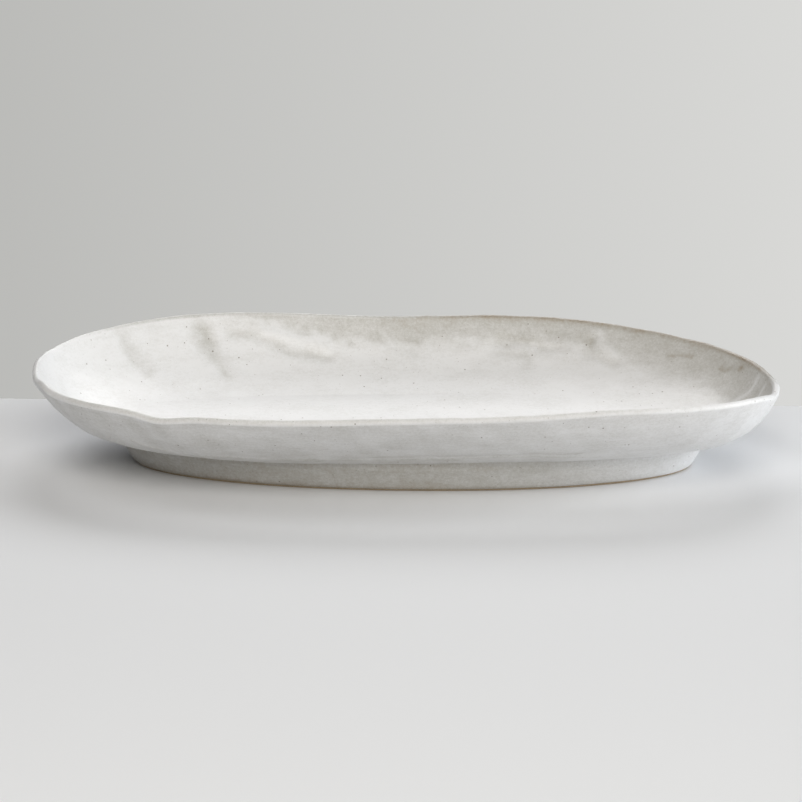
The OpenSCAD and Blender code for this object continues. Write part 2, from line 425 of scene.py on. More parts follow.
def cove(shape, angle, turn):
    """A hollow quarter round from the crease at turn 0 to the joint with the foot at a quarter turn."""
    flat = foot_at(shape, angle, COVE_IN * np.sin(turn))
    height = FOOT_TOP + (crease_level(shape, angle) - FOOT_TOP) * np.cos(turn) ** 2
    return np.concatenate([flat, height[..., None]], axis=-1)


def clay_face_in(shape, height):
    """How far in from the crease the foot's clay face lies: straight from the joint to the heel."""
    joint = COVE_IN + shape.glaze
    return joint + (HEEL_IN - joint) * (FOOT_TOP - height) / FOOT_TOP


def wipe_line(angle):
    """Height of the glaze's lower edge on the foot, where it was wiped: a few slow waves round."""
    wander = sum(
        np.sin(turns * angle + turns * turns) / math.sqrt(turns) for turns in (2, 3, 5, 8, 13, 21)
    )
    return WIPE_HEIGHT + WIPE_WANDER * wander / 2


def foot_face(shape, angle, share):
    """The glazed face of the foot from the wipe line, share 0, to the joint, share 1. The coat swells
    from nothing at the wipe line as one less a falling exponential."""
    low = wipe_line(angle)
    height = low + (FOOT_TOP - low) * share
    coat = shape.glaze * (1 - np.exp((low - height) / WIPE_TAPER))
    flat = foot_at(shape, angle, clay_face_in(shape, height) - coat)
    return np.concatenate([flat, height[..., None]], axis=-1)


# ---- what the hand and the kiln left on the surface ----


def rolling(points, shortest, longest, seed, count=20):
    """A sum of sine waves with directions, lengths in mm and phases from a seeded draw, about -1 to 1."""
    rng = np.random.default_rng(seed)
    directions = rng.normal(size=(count, 3))
    directions /= np.linalg.norm(directions, axis=1, keepdims=True)
    lengths = rng.uniform(shortest, longest, count) * MM
    phases = rng.uniform(0, 2 * math.pi, count)
    turns = points @ (directions / lengths[:, None] * 2 * math.pi).T + phases
    return np.sin(turns).sum(axis=-1) / math.sqrt(count)


def warped(points, amount, length, seed):
    """The points moved by three rolling fields of an amount and length in mm, which bends the pattern
    laid over them."""
    moves = [rolling(points, length, 2 * length, seed + axis, 8) for axis in range(3)]
    return points + amount * MM * np.stack(moves, axis=-1)


def beside_line(points, normals, line):
    """For every point its distance to the nearest stretch of a line, and which side of it the point
    is on: the sign of the stretch's direction crossed with the surface normal."""
    nearest = np.full(points.shape[:-1], np.inf)
    side = np.zeros(points.shape[:-1])
    for start, end in zip(line[:-1], line[1:]):
        run = end - start
        share = np.clip((points - start) @ run / (run @ run), 0, 1)
        away = points - start - share[..., None] * run
        distance = np.linalg.norm(away, axis=-1)
        closer = distance < nearest
        turned = np.einsum("...i,...i", np.cross(run, normals), away)
        nearest = np.where(closer, distance, nearest)
        side = np.where(closer, turned, side)
    return nearest, side


def strokes_over(shape, points, normals, strokes, depth):
    """The lift and the thinning that a set of strokes gives a face, summed; the thinning is partly painted
    shade and painted highlight. Each is a bell of the distance to its line, with a half-width of its own on
    either side, at a depth in the wall."""
    lift = np.zeros(points.shape[:-1])
    thinning = np.zeros(points.shape[:-1])
    for corners, left, right, height, thinner in strokes:
        corners = np.array(corners, float)
        at = np.linspace(0, len(corners) - 1, 4 * len(corners))
        knots = np.arange(len(corners))
        angle = np.radians(np.interp(at, knots, corners[:, 0]))
        up = np.interp(at, knots, corners[:, 1])
        line = in_wall(shape, angle, up, depth(up))
        distance, side = beside_line(points, normals, line)
        blend = 0.5 + 0.5 * np.tanh(side / (0.5 * np.mean([left, right]) * MM) / (10 * MM))
        across = bell(distance, (right + (left - right) * blend) * MM)
        lift += height * MM * across
        thinning += thinner * across
    return lift, thinning


def grid_normals(grid, closed_rows=False):
    """Unit normals of a grid of points: the step along the ring crossed with the step along the
    section, each taken between the neighbours on both sides."""
    round_step = np.roll(grid, -1, axis=1) - np.roll(grid, 1, axis=1)
    if closed_rows:
        section_step = np.roll(grid, -1, axis=0) - np.roll(grid, 1, axis=0)
    else:
        section_step = np.gradient(grid, axis=0)
    normals = np.cross(round_step, section_step)
    return normals / np.linalg.norm(normals, axis=-1, keepdims=True)


class GlazedSkin:
    """The whole glazed face as one grid, a row of points per ring, from the wipe line on the foot up
    the outside, over the lip and down to the middle of the floor."""

    def __init__(self, shape):
        foot = [foot_face(shape, ANGLES, s) for s in np.arange(FOOT_ROWS) / FOOT_ROWS]
        turns = np.linspace(math.pi / 2, 0, COVE_ROWS + 1)[:-1]
        cove_rows = [cove(shape, ANGLES, turn) for turn in turns]
        ups = np.linspace(0, 1, WALL_ROWS + 1)
        wall = [in_wall(shape, ANGLES, up, 0) for up in ups]
        turns = np.linspace(0, math.pi, LIP_ROWS + 1)[1:-1]
        lip = [lip_round(shape, ANGLES, turn) for turn in turns]
        downs = np.linspace(1, 0, INSIDE_ROWS + 1)
        inside = [inside_of_wall(shape, ANGLES, up) for up in downs]
        falls = np.linspace(1, 0, FLOOR_ROWS + 1)[1:-1]
        floor = [floor_of_well(shape, ANGLES, share) for share in falls]

        self.joint = len(foot)
        self.crease = self.joint + len(cove_rows)
        self.lip_out = self.crease + len(wall) - 1
        self.lip_in = self.lip_out + len(lip) + 1
        self.floor = self.lip_in + len(inside) - 1
        rows = np.array(foot + cove_rows + wall + lip + inside + floor)

        self.inside_up = np.zeros(len(rows))
        self.inside_up[self.lip_in:self.floor + 1] = downs
        self.wall_up = np.zeros(len(rows))
        self.wall_up[self.crease:self.lip_out + 1] = ups
        self.wall_up[self.lip_out:self.lip_in] = 1
        self.floor_share = np.ones(len(rows))
        self.floor_share[self.floor + 1:] = falls
        self.on_inside = np.zeros(len(rows))
        self.on_inside[self.lip_in:] = 1
        self.on_inside[self.lip_out:self.lip_in + 1] = np.linspace(0, 1, LIP_ROWS + 1)
        self.on_foot = np.zeros(len(rows))
        self.on_foot[:self.crease + 1] = 1

        normals = grid_normals(rows)
        self.lift, self.thinning = self.worked(shape, rows, normals)
        self.points = rows + normals * self.lift[..., None]
        self.points[0] = rows[0]
        self.normals = grid_normals(self.points)
        self.coat = np.full((len(rows), STEPS), shape.glaze)
        low = wipe_line(ANGLES)
        heights = self.points[:self.joint, :, 2]
        self.coat[:self.joint] *= 1 - 0.94 * np.exp((low - heights) / WIPE_TAPER)
        tip = floor_of_well(shape, np.zeros(1), 0.0)[0]
        tip[2] = self.points[-1, :, 2].mean()
        self.tip = tip

    def worked(self, shape, rows, normals):
        """How far the surface stands out from the plain form, and how much thinner the glaze lies on it,
        which along the strokes is partly painted shade and painted highlight: strokes and dents inside,
        strokes, a groove under the lip and unevenness outside."""
        up = self.inside_up[:, None]
        lift = np.zeros(rows.shape[:-1])
        thinning = np.zeros(rows.shape[:-1])

        well = slice(self.lip_in, len(rows))
        bent = warped(rows[well], 9, 45, 11)
        fade = (1 - up[well] ** 14) * (0.4 + 0.6 * np.clip(up[well] / 0.2, 0, 1))
        fade *= 1 - bell(self.floor_share[well, None], 0.3)
        strokes, thinning[well] = strokes_over(
            shape, warped(rows[well], 1.6, 12, 5), normals[well], INSIDE_STROKES,
            lambda share: wall_depth(shape, share),
        )
        dents = 0.20 * MM * rolling(bent, 26, 60, 21) + 0.09 * MM * rolling(bent, 9, 22, 22)
        high = np.clip(up[well] / 0.45, 0, 1) ** 1.5
        lift[well] += fade * (strokes + dents * (0.25 + 0.75 * high))

        below = np.linalg.norm(rows - rows[self.lip_out], axis=-1)
        wall = slice(self.crease, self.lip_out + 1)
        wander = 0.7 * MM * np.sin(5 * ANGLES + 1) + 0.4 * MM * np.sin(11 * ANGLES)
        groove = bell(below[wall] - 3.0 * MM - wander, 1.0 * MM) * (0.6 + 0.4 * np.sin(3 * ANGLES + 2.4))
        bead = 0.12 * MM * bell(below[wall] - 1.0 * MM, 1.6 * MM)
        bent = warped(rows[wall], 8, 40, 31)
        uneven = 0.16 * MM * rolling(bent, 22, 60, 32) + 0.05 * MM * rolling(bent, 7, 16, 33)
        strokes, thinning[wall] = strokes_over(
            shape, warped(rows[wall], 0.8, 14, 6), normals[wall], OUTSIDE_STROKES, lambda share: 0
        )
        edge = np.clip((1 - self.wall_up[wall, None]) * 12, 0, 1)
        lift[wall] += (strokes + bead + uneven - 0.16 * MM * groove) * edge
        thinning[wall] += 0.20 * groove * edge

        lip = slice(self.lip_out, self.lip_in + 1)
        round_over = np.sin(math.pi * self.on_inside[lip, None])
        lift[lip] += round_over * 0.14 * MM * rolling(rows[lip], 12, 45, 41)

        foot = slice(0, self.crease + 1)
        lines = 0.05 * MM * np.sin(rows[foot][..., 2] / (1.5 * MM) * math.pi + 2 * np.sin(2 * ANGLES))
        worn = 0.14 * MM * rolling(rows[foot], 14, 50, 51)
        ease = np.clip((rows[foot][..., 2] - 2 * MM) / (2 * MM), 0, 1)
        ease *= np.clip(np.arange(self.crease, -1, -1) / 6, 0, 1)[:, None]
        lift[foot] += ease * (lines + worn)
        return lift, thinning


# ---- making meshes ----


def close_rings(name, rings, normals, tips=(), tip_normals=()):
    """Joins rings into a closed mesh with faces outwards. With two tips the ends close on them, and
    without tips the last ring joins the first. Vertex normals are set, so that coats which meet
    shade as one surface."""
    count, steps = rings.shape[:2]
    bands = count - 1 if len(tips) else count
    row, column = np.meshgrid(np.arange(bands), np.arange(steps), indexing="ij")
    beside, above = (column + 1) % steps, (row + 1) % count
    quads = np.stack(
        [row * steps + column, row * steps + beside, above * steps + beside, above * steps + column], -1
    ).reshape(-1, 4)
    points = rings.reshape(-1, 3)
    directions = normals.reshape(-1, 3)
    corners = quads.ravel()
    starts = np.arange(len(quads)) * 4
    if len(tips):
        step = np.arange(steps)
        following = (step + 1) % steps
        first = np.stack([np.full(steps, count * steps), following, step], -1)
        top = (count - 1) * steps
        last = np.stack([np.full(steps, count * steps + 1), top + step, top + following], -1)
        fans = np.concatenate([first, last])
        starts = np.concatenate([starts, len(corners) + np.arange(len(fans)) * 3])
        corners = np.concatenate([corners, fans.ravel()])
        points = np.concatenate([points, np.array(tips)])
        directions = np.concatenate([directions, np.array(tip_normals)])

    mesh = bpy.data.meshes.new(name)
    mesh.vertices.add(len(points))
    mesh.loops.add(len(corners))
    mesh.polygons.add(len(starts))
    mesh.vertices.foreach_set("co", points.astype(np.float32).ravel())
    mesh.loops.foreach_set("vertex_index", corners.astype(np.int32))
    mesh.polygons.foreach_set("loop_start", starts.astype(np.int32))
    mesh.update(calc_edges=True)
    if mesh.validate():
        raise RuntimeError(f"{name}: the mesh had faces that Blender had to mend")
    mesh.polygons.foreach_set("use_smooth", np.ones(len(starts), bool))
    mesh.normals_split_custom_set_from_vertices(directions.astype(np.float32))
    piece = bpy.data.objects.new(name, mesh)
    bpy.context.scene.collection.objects.link(piece)
    return piece


def add_mask(piece, name, values):
    """Keeps one number per vertex on the mesh, for its material to read."""
    attribute = piece.data.attributes.new(name, "FLOAT", "POINT")
    attribute.data.foreach_set("value", np.asarray(values, np.float32).ravel())


def finish_piece(piece, node, material):
    piece.data.materials.append(material)
    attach(piece, BODY)
    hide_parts(node)
    return piece


def coat_of_glaze(name, skin, thin, first, last, slot=GLAZE_SLOT, tipped=False):
    """A shell of glaze: the skin's rows from first to last as its face, and the same rows moved in by
    the coat's thickness as its back."""
    material = rim_glaze() if slot == RIM_SLOT else white_glaze()
    face = slice(first, last + 1)
    rows = np.arange(first, last + 1)
    under = np.unique(np.concatenate([rows[::UNDER_STRIDE], rows[-1:]]))
    back = skin.points[under] - skin.normals[under] * skin.coat[under][..., None]
    thin_under = thin[under]
    if tipped:
        rings = np.concatenate([back[::-1], skin.points[face]])
        normals = np.concatenate([-skin.normals[under][::-1], skin.normals[face]])
        masks = np.concatenate([thin_under[::-1], thin[face]])
        up = np.array([0, 0, 1.0])
        tips = (skin.tip - up * skin.coat[-1, 0], skin.tip)
        piece = close_rings(name, rings, normals, tips, (-up, up))
        masks = np.concatenate([masks.ravel(), [0, 0]])
    else:
        rings = np.concatenate([skin.points[face], back[::-1]])
        normals = np.concatenate([skin.normals[face], -skin.normals[under][::-1]])
        masks = np.concatenate([thin[face], thin_under[::-1]])
        piece = close_rings(name, rings, normals)
    add_mask(piece, "thin", masks)
    return finish_piece(piece, name, material)


def thin_glaze_and_shade_mask(skin):
    """How thin the glaze lies, from 0 to 1, with painted shade and painted highlight laid in: in a ragged
    band inside under the lip, partly painted shade; on the edge of the lip at the back; along the strokes,
    partly painted shade and painted highlight; over the outside a little, partly painted shade, left off
    the lit front right; as painted shade over the foot and more in the cove, also left off the lit front
    right; and towards the wiped foot."""
    rows = np.arange(len(skin.points))[:, None]
    points = skin.points
    broken = 0.5 + 0.4 * rolling(points, 10, 36, 61)
    ragged = rolling(points, 5, 16, 62)
    degrees = np.degrees(ANGLES)
    right_back = bell(degrees_between(ANGLES, 52), 52)
    # Along the strokes: partly thin glaze, partly painted shade in hollows and painted highlight on ridges.
    thin = skin.thinning * (0.6 + 0.3 * broken)

    # Partly real thin glaze and partly painted shade: the band reaches lower at the right end and is greyer
    # at the back right, where the inside lies in shade.
    inside = (rows > skin.lip_in) & (rows <= skin.floor)
    starts = np.interp(degrees, *np.array(THIN_AND_SHADED_BAND).T)
    soft = 0.05 + 0.14 * bell(degrees_between(ANGLES, 20), 34)
    over = (skin.inside_up[:, None] - starts + 0.025 * ragged) / soft
    band = 0.5 + 0.5 * np.tanh(over)
    thin += inside * band * (0.34 + 0.06 * broken + 0.06 * right_back)

    lip = skin.on_inside[:, None]
    on_lip = (rows > skin.lip_out) & (rows <= skin.lip_in)
    on_top = np.clip(lip * 4 - 0.6, 0, 1)
    thin += on_lip * on_top * np.interp(degrees, *np.array(THIN_LIP).T) * (0.9 + 0.2 * broken)
    edge = bell(skin.inside_up[:, None] - 1, 0.02) * (rows > skin.lip_in)
    thin += edge * 0.20 * right_back

    # Partly the outside's greyer glaze and partly painted shade, as it is left off the lit front right.
    outside = (rows >= skin.crease) & (rows <= skin.lip_out)
    sunny = bell(degrees_between(ANGLES, 345), 45)
    thin += outside * (1 - sunny) * (0.10 + 0.12 * broken)

    # Painted shade over the foot, deeper towards the cove and with some mottling, left off the lit front
    # right; the term low is the glaze's real thinning towards the wiped edge.
    foot = rows < skin.crease
    cove_shade_ramp = np.clip((rows - skin.joint * 0.5) / (skin.crease - skin.joint * 0.5), 0, 1)
    low = np.exp(-np.clip(points[..., 2] - wipe_line(ANGLES), 0, None) / (1.8 * MM))
    foot_painted_shade = 0.44 + 0.05 * broken + 0.03 * ragged + 0.08 * cove_shade_ramp
    thin += foot * (foot_painted_shade + 0.3 * low) * (1 - 0.95 * sunny)
    return np.clip(thin, 0, 1)


# ---- shader node groups and materials ----


def add_node(tree, kind, at, inputs=None, **settings):
    """Adds a node with its settings. An input takes a value, or a link where it is given a socket."""
    node = tree.nodes.new(kind)
    node.location = (at[0] * 200, at[1] * -180)
    for key, value in settings.items():
        setattr(node, key, value)
    for key, value in (inputs or {}).items():
        if isinstance(value, bpy.types.NodeSocket):
            tree.links.new(value, node.inputs[key])
        else:
            node.inputs[key].default_value = value
    return node


def add_math(tree, at, operation, *values, clamp=False):
    """The result of a sum on sockets or numbers."""
    inputs = dict(enumerate(values))
    return add_node(tree, "ShaderNodeMath", at, inputs, operation=operation, use_clamp=clamp).outputs[0]


def mix_colours(tree, at, factor, first, second):
    """A colour mix whose two colours are either sockets or values."""
    colours = [c if isinstance(c, bpy.types.NodeSocket) else (*c, 1) for c in (first, second)]
    inputs = {"Factor": factor, "A": colours[0], "B": colours[1]}
    return add_node(tree, "ShaderNodeMix", at, inputs, data_type="RGBA").outputs["Result"]


def new_group(name, inputs, outputs):
    """An empty shader node group with named sockets: its tree, given sockets and output node."""
    tree = bpy.data.node_groups.new(name, "ShaderNodeTree")
    for label, kind, default in inputs:
        socket = tree.interface.new_socket(label, in_out="INPUT", socket_type=kind)
        if default is not None:
            socket.default_value = default
    for label, kind in outputs:
        tree.interface.new_socket(label, in_out="OUTPUT", socket_type=kind)
    return tree, tree.nodes.new("NodeGroupInput").outputs, tree.nodes.new("NodeGroupOutput")


def iron_specks_group():
    """Round specks: cells of which a share, picked by the cell's own random colour, hold a dot."""
    tree, given, out = new_group(
        "Iron Specks",
        [("Vector", "NodeSocketVector", None), ("Cells per Metre", "NodeSocketFloat", 200.0),
         ("Size", "NodeSocketFloat", 0.12), ("Share", "NodeSocketFloat", 0.5)],
        [("Mask", "NodeSocketFloat")],
    )
    cells = add_node(
        tree, "ShaderNodeTexVoronoi", (1, 0), {"Vector": given["Vector"], "Scale": given["Cells per Metre"]},
        feature="F1", distance="EUCLIDEAN",
    )
    parts = add_node(tree, "ShaderNodeSeparateColor", (2, 1), {"Color": cells.outputs["Color"]})
    picked = add_math(tree, (3, 1), "LESS_THAN", parts.outputs["Red"], given["Share"])
    radius = add_node(
        tree, "ShaderNodeMapRange", (3, 2), {"Value": parts.outputs["Green"], "To Min": 0.35, "To Max": 1.0}
    )
    size = add_math(tree, (4, 2), "MULTIPLY", radius.outputs["Result"], given["Size"])
    near = add_math(tree, (5, 1), "DIVIDE", cells.outputs["Distance"], size)
    dot = add_node(
        tree, "ShaderNodeMapRange", (6, 1),
        {"Value": near, "From Min": 0.45, "From Max": 1.0, "To Min": 1.0, "To Max": 0.0},
    )
    tree.links.new(add_math(tree, (7, 0), "MULTIPLY", dot.outputs["Result"], picked), out.inputs["Mask"])
    return tree


def mottle_group():
    """Cloudy unevenness: coarse and fine noise, added and centred on zero."""
    tree, given, out = new_group(
        "Mottle",
        [("Vector", "NodeSocketVector", None), ("Coarse", "NodeSocketFloat", 30.0),
         ("Fine", "NodeSocketFloat", 600.0), ("Fine Share", "NodeSocketFloat", 0.5)],
        [("Value", "NodeSocketFloat")],
    )
    centred = []
    for row, label in enumerate(("Coarse", "Fine")):
        inputs = {"Vector": given["Vector"], "Scale": given[label], "Detail": 3.0, "Roughness": 0.55}
        noise = add_node(tree, "ShaderNodeTexNoise", (1, row), inputs)
        centred.append(add_math(tree, (2, row), "SUBTRACT", noise.outputs["Fac"], 0.5))
    fine = add_math(tree, (3, 1), "MULTIPLY", centred[1], given["Fine Share"])
    tree.links.new(add_math(tree, (4, 0), "ADD", centred[0], fine), out.inputs["Value"])
    return tree


def clay_grain_group():
    """Fired clay: sand in the colour, and a height of grains and pits."""
    tree, given, out = new_group(
        "Clay Grain",
        [("Vector", "NodeSocketVector", None), ("Grains per Metre", "NodeSocketFloat", 1400.0),
         ("Clay", "NodeSocketColor", (0.5, 0.4, 0.3, 1)), ("Grog", "NodeSocketColor", (0.3, 0.2, 0.1, 1))],
        [("Color", "NodeSocketColor"), ("Height", "NodeSocketFloat")],
    )
    inputs = {"Vector": given["Vector"], "Scale": given["Grains per Metre"], "Detail": 4.0, "Roughness": 0.7}
    height = add_node(tree, "ShaderNodeTexNoise", (1, 0), inputs).outputs["Fac"]
    share = add_node(
        tree, "ShaderNodeMapRange", (2, 0), {"Value": height, "From Min": 0.42, "From Max": 0.72}
    )
    colour = mix_colours(tree, (3, 0), share.outputs["Result"], given["Clay"], given["Grog"])
    tree.links.new(colour, out.inputs["Color"])
    tree.links.new(height, out.inputs["Height"])
    return tree


def glaze_depth_group():
    """The colour of a glaze by how thin it lies: thick at 0, thin at a half and broken at 1."""
    tree, given, out = new_group(
        "Glaze Depth",
        [("Thin", "NodeSocketFloat", 0.0), ("Thick Glaze", "NodeSocketColor", (0.8, 0.8, 0.8, 1)),
         ("Thin Glaze", "NodeSocketColor", (0.6, 0.6, 0.55, 1)),
         ("Broken Glaze", "NodeSocketColor", (0.3, 0.2, 0.15, 1))],
        [("Color", "NodeSocketColor")],
    )
    colour = given["Thick Glaze"]
    for step, (label, offset) in enumerate((("Thin Glaze", 0), ("Broken Glaze", -1))):
        share = add_math(tree, (1 + step, 1), "MULTIPLY_ADD", given["Thin"], 2, offset, clamp=True)
        colour = mix_colours(tree, (2 + step, 0), share, colour, given[label])
    tree.links.new(colour, out.inputs["Color"])
    return tree


def use_group(tree, name, make, at, inputs):
    """A node for the group of that name, which is made the first time that it is asked for."""
    group = bpy.data.node_groups.get(name) or make()
    return add_node(tree, "ShaderNodeGroup", at, inputs, node_tree=group)


def new_material(name):
    """An empty material, and its tree and object coordinates."""
    material = bpy.data.materials.new(name)
    material.use_nodes = True
    tree = material.node_tree
    tree.nodes.clear()
    return material, tree, add_node(tree, "ShaderNodeTexCoord", (-7, 0)).outputs["Object"]


def finish_shader(tree, colour, rough, height, strength, distance):
    """A principled surface with a bump, joined to the material's output."""
    bump = add_node(
        tree, "ShaderNodeBump", (1, 3), {"Height": height, "Strength": strength, "Distance": distance}
    )
    shader = add_node(
        tree, "ShaderNodeBsdfPrincipled", (2, 0),
        {"Base Color": colour, "Roughness": rough, "Normal": bump.outputs["Normal"], "IOR": 1.5},
    )
    add_node(tree, "ShaderNodeOutputMaterial", (4, 0), {"Surface": shader.outputs["BSDF"]})


def glaze_material(name, thinner):
    """Satin reactive glaze: white where thick, grey where thin and brown where broken, cloudy and
    sandy, with iron specks. All of it lies thinner by the given share. The thin mask that it reads also
    holds painted shade and painted highlight."""
    found = bpy.data.materials.get(name)
    if found:
        return found
    finish = bpy.context.scene.platter_finish
    material, tree, where = new_material(name)
    across = add_node(tree, "ShaderNodeMapping", (-6, 1), {"Vector": where, "Scale": (1, 1, 3.5)}).outputs[0]
    cloud, sand = (
        use_group(
            tree, "Mottle", mottle_group, (-5, row),
            {"Vector": vector, "Coarse": coarse, "Fine": fine, "Fine Share": share},
        ).outputs["Value"]
        for row, vector, coarse, fine, share in (
            (0, across, 38.0, 230.0, 0.6), (1, where, 520.0, 1300.0, 0.9),
        )
    )
    big, small = (
        use_group(
            tree, "Iron Specks", iron_specks_group, (-5, row),
            {"Vector": where, "Cells per Metre": cells, "Size": size, "Share": share},
        ).outputs["Mask"]
        for row, cells, size, share in ((2, 165.0, 0.12, 0.9), (3, 330.0, 0.15, 0.6))
    )

    # The thin mask holds painted shade and painted highlight as well as thin glaze.
    thin = add_node(tree, "ShaderNodeAttribute", (-5, 4), attribute_name="thin").outputs["Fac"]
    clouded = add_math(tree, (-4, 4), "MULTIPLY_ADD", cloud, 0.30, thin)
    sandiness = add_math(tree, (-4, 2), "MULTIPLY_ADD", thin, 0.4, 0.25)
    sanded = add_math(tree, (-3, 3), "MULTIPLY_ADD", sand, sandiness, clouded)
    depth = add_math(tree, (-2, 3), "ADD", sanded, thinner, clamp=True)
    body = use_group(
        tree, "Glaze Depth", glaze_depth_group, (-1, 0),
        {"Thin": depth, "Thick Glaze": (*finish.glaze, 1), "Thin Glaze": (*finish.thin_glaze, 1),
         "Broken Glaze": (*finish.broken_glaze, 1)},
    ).outputs["Color"]
    faint = add_math(tree, (-1, 2), "MULTIPLY", small, 0.34)
    freckled = mix_colours(tree, (0, 0), faint, body, finish.iron)
    strong = add_math(tree, (-1, 1), "MULTIPLY", big, 0.85)
    speckled = mix_colours(tree, (1, 0), strong, freckled, finish.iron)
    rough = add_math(tree, (0, 3), "MULTIPLY_ADD", sand, 0.16, finish.gloss)
    dips = add_math(tree, (0, 4), "SUBTRACT", sand, big)
    finish_shader(tree, speckled, rough, dips, 0.12, 0.0006)
    return material


def white_glaze():
    return glaze_material("white_satin_glaze", WHITE_THINNER)


def rim_glaze():
    return glaze_material("thin_rim_glaze", RIM_THINNER)


def clay_material():
    """Bare fired stoneware: matt tan with darker grog and a sandy surface."""
    found = bpy.data.materials.get("bare_stoneware")
    if found:
        return found
    clay = bpy.context.scene.platter_finish.clay
    material, tree, where = new_material("bare_stoneware")
    grain = use_group(
        tree, "Clay Grain", clay_grain_group, (-2, 0),
        {"Vector": where, "Clay": (*clay, 1), "Grog": (*[c * 0.55 for c in clay], 1)},
    )
    cloud = use_group(
        tree, "Mottle", mottle_group, (-2, 1), {"Vector": where, "Coarse": 60.0, "Fine": 900.0}
    ).outputs["Value"]
    share = add_math(tree, (-1, 1), "MULTIPLY_ADD", cloud, 0.8, 0.15, clamp=True)
    colour = mix_colours(tree, (0, 0), share, grain.outputs["Color"], [c * 0.7 for c in clay])
    height = grain.outputs["Height"]
    rough = add_math(tree, (0, 1), "MULTIPLY_ADD", height, 0.25, 0.68)
    finish_shader(tree, colour, rough, height, 0.35, 0.0005)
    return material


# ---- one operator per piece ----

_skins = {}


def glazed_skin(context):
    """The glazed face and its thin-glaze mask, which also holds painted shade and painted highlight, worked
    out once for all the pieces.
    """
    shape = context.scene.platter_shape
    key = tuple(getattr(shape, name) for name in PlatterShape.__annotations__)
    if key not in _skins:
        skin = GlazedSkin(shape)
        _skins[key] = (skin, thin_glaze_and_shade_mask(skin))
    return _skins[key]


class PLATTER_OT_body(bpy.types.Operator):
    """Make the clay of the dish: a closed skin just under the glazed face, with a flat underside"""

    bl_idname = "platter.body"
    bl_label = "Clay Body"

    def execute(self, context):
        skin, _ = glazed_skin(context)
        rows = slice(skin.joint, None, 3)
        depth = context.scene.platter_shape.glaze + 0.03 * MM
        rings = (skin.points[rows] - skin.normals[rows] * depth)[:, ::2]
        normals = skin.normals[rows][:, ::2]
        middle = context.scene.platter_shape.foot_shift
        up = np.array([0, 0, 1.0])
        tips = (np.array([middle, 0, FOOT_TOP]), skin.tip - up * depth)
        piece = close_rings("platter_body", rings, normals, tips, (-up, up))
        finish_piece(piece, "platter_body", clay_material())
        return {"FINISHED"}


class PLATTER_OT_foot_ring(bpy.types.Operator):
    """Make the clay foot: a ring with a flat ground face, a rounded heel and a sloping inner side"""

    bl_idname = "platter.foot_ring"
    bl_label = "Foot Ring"

    def execute(self, context):
        shape = context.scene.platter_shape
        top_in = clay_face_in(shape, FOOT_TOP)
        inner_top = top_in + shape.ground_width + JOINT_EXTRA
        ground = HEEL_IN + HEEL_ROUND
        inner_ground = ground + shape.ground_width
        turns = np.linspace(0, math.pi / 2, 8)
        heel = [(ground - HEEL_ROUND * math.sin(a), HEEL_ROUND * (1 - math.cos(a))) for a in turns]
        heights = np.linspace(HEEL_ROUND, FOOT_TOP, 24)[1:]
        face = [(clay_face_in(shape, z), z) for z in heights]
        top = [(top_in + share * (inner_top - top_in), FOOT_TOP) for share in (0.02, 0.98, 1)]
        low = np.array([inner_ground + INNER_ROUND, INNER_ROUND])
        high = np.array([inner_top, FOOT_TOP])
        side = [tuple(high + (low - high) * share) for share in np.linspace(0.03, 1, 12)]
        turns = np.linspace(math.pi / 2, 0, 7)[1:]
        inner_heel = [
            (inner_ground + INNER_ROUND * math.sin(a), INNER_ROUND * (1 - math.cos(a))) for a in turns
        ]
        flat = [(ground + share * shape.ground_width, 0) for share in (0.97, 0.5, 0.03)]
        profile = heel + face + top + side + inner_heel + flat
        rings = np.array([
            np.column_stack([foot_at(shape, ANGLES, inwards), np.full(STEPS, height)])
            for inwards, height in profile
        ])
        worn = 0.10 * MM * rolling(rings, 10, 40, 71) * np.clip(rings[..., 2] / (4 * MM), 0, 1)
        normals = grid_normals(rings, closed_rows=True)
        inner = slice(len(heel) + len(face) + 1, None)
        rings[inner] += normals[inner] * worn[inner][..., None] * (rings[inner][..., 2:] < FOOT_TOP - MM)
        normals = grid_normals(rings, closed_rows=True)
        piece = close_rings("foot_ring", rings, normals)
        finish_piece(piece, "foot_ring", clay_material())
        return {"FINISHED"}


class PLATTER_OT_well_glaze(bpy.types.Operator):
    """Make the glaze over the floor and the inside of the wall"""

    bl_idname = "platter.well_glaze"
    bl_label = "Well Glaze"

    def execute(self, context):
        skin, thin = glazed_skin(context)
        coat_of_glaze("well_glaze", skin, thin, skin.lip_in, len(skin.points) - 1, tipped=True)
        return {"FINISHED"}


class PLATTER_OT_rim_glaze(bpy.types.Operator):
    """Make the glaze over the round lip, where it runs thin"""

    bl_idname = "platter.rim_glaze"
    bl_label = "Rim Glaze"

    def execute(self, context):
        skin, thin = glazed_skin(context)
        coat_of_glaze("rim_glaze", skin, thin, skin.lip_out, skin.lip_in, RIM_SLOT)
        return {"FINISHED"}


class PLATTER_OT_wall_glaze(bpy.types.Operator):
    """Make the glaze over the outside of the wall and the cove above the foot"""

    bl_idname = "platter.wall_glaze"
    bl_label = "Wall Glaze"

    def execute(self, context):
        skin, thin = glazed_skin(context)
        coat_of_glaze("wall_glaze", skin, thin, skin.joint, skin.lip_out)
        return {"FINISHED"}


class PLATTER_OT_foot_glaze(bpy.types.Operator):
    """Make the glaze on the face of the foot, down to the wiped edge"""

    bl_idname = "platter.foot_glaze"
    bl_label = "Foot Glaze"

    def execute(self, context):
        skin, thin = glazed_skin(context)
        coat_of_glaze("foot_glaze", skin, thin, 0, skin.joint)
        return {"FINISHED"}


